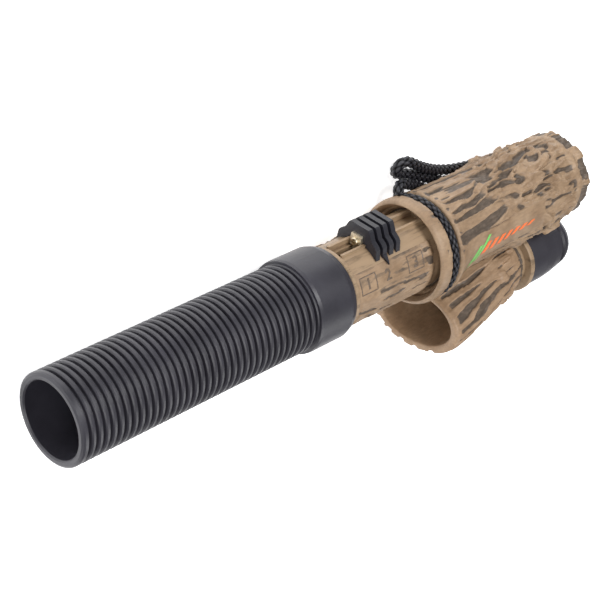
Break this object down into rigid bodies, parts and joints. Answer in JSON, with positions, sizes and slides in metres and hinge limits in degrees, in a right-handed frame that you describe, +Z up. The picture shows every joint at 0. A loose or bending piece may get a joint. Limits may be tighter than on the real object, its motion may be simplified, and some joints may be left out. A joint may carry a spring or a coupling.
{
  "type": "deer grunt call",
  "caption": "Deer grunt call with a ribbed exhaust tube, a tone barrel with a thumb slider, an antler-textured main barrel on a lanyard and a wheeze call with a bell slung below.",
  "frame": {"origin": "middle of the call as it lies, without the lanyard, on the surface it lies on", "axes": "+X towards the open end of the ribbed tube, within 1.5 degrees of the main axis, -Y towards the thumb slider, +Z up"},
  "size_m": [0.3025, 0.1071, 0.0509],
  "materials": {
    "hose_rubber": "matt moulded rubber",
    "tone_plastic": "satin moulded plastic, lightly streaked",
    "slider_plastic": "satin moulded plastic",
    "plate_metal": "satin plated",
    "screw_metal": "plated",
    "board_plastic": "moulded",
    "reed_film": "thin polyester film",
    "wedge_rubber": "cork-like rubber",
    "seal_rubber": "moulded",
    "antler_plastic": "moulded with a dark stain wiped into the relief",
    "lanyard_cord": "braided polyester",
    "tie_rubber": "moulded band",
    "horn_plastic": "moulded, stained",
    "cap_rubber": "satin moulded rubber",
    "disc_metal": "stamped"
  },
  "bodies": {
    "root": {"main_barrel": "antler_plastic", "lanyard_band": "lanyard_cord", "lanyard_lead": "lanyard_cord", "lanyard_hank": "lanyard_cord", "lanyard_return": "lanyard_cord", "hank_tie": "tie_rubber", "wheeze_horn": "horn_plastic", "wheeze_tube": "horn_plastic", "wheeze_disc_front": "disc_metal", "wheeze_disc_rear": "disc_metal"},
    "tone": {"tone_barrel": "tone_plastic", "tone_board": "board_plastic", "reed": "reed_film", "reed_wedge": "wedge_rubber", "tone_board_seal": "seal_rubber", "tail_seal": "seal_rubber"},
    "slider": {"slider": "slider_plastic", "slider_bracket": "plate_metal", "slider_screw": "screw_metal", "reed_carriage": "slider_plastic"},
    "tube": {"ribbed_tube": "hose_rubber"},
    "cap": {"wheeze_cap": "cap_rubber"}
  },
  "joints": [
    {"name": "tone_pull", "type": "slide", "parent": "root", "child": "tone", "axis": [0.9997, 0.0009, -0.0255], "range_m": [0, 0.03]},
    {"name": "slider_slide", "type": "slide", "parent": "tone", "child": "slider", "axis": [-0.9997, -0.0009, 0.0255], "range_m": [-0.011, 0.0145]},
    {"name": "tube_pull", "type": "slide", "parent": "tone", "child": "tube", "axis": [0.9997, 0.0009, -0.0255], "range_m": [0, 0.024]},
    {"name": "cap_pull", "type": "slide", "parent": "root", "child": "cap", "axis": [-0.9997, -0.0009, 0.0255], "range_m": [0, 0.02]}
  ]
}
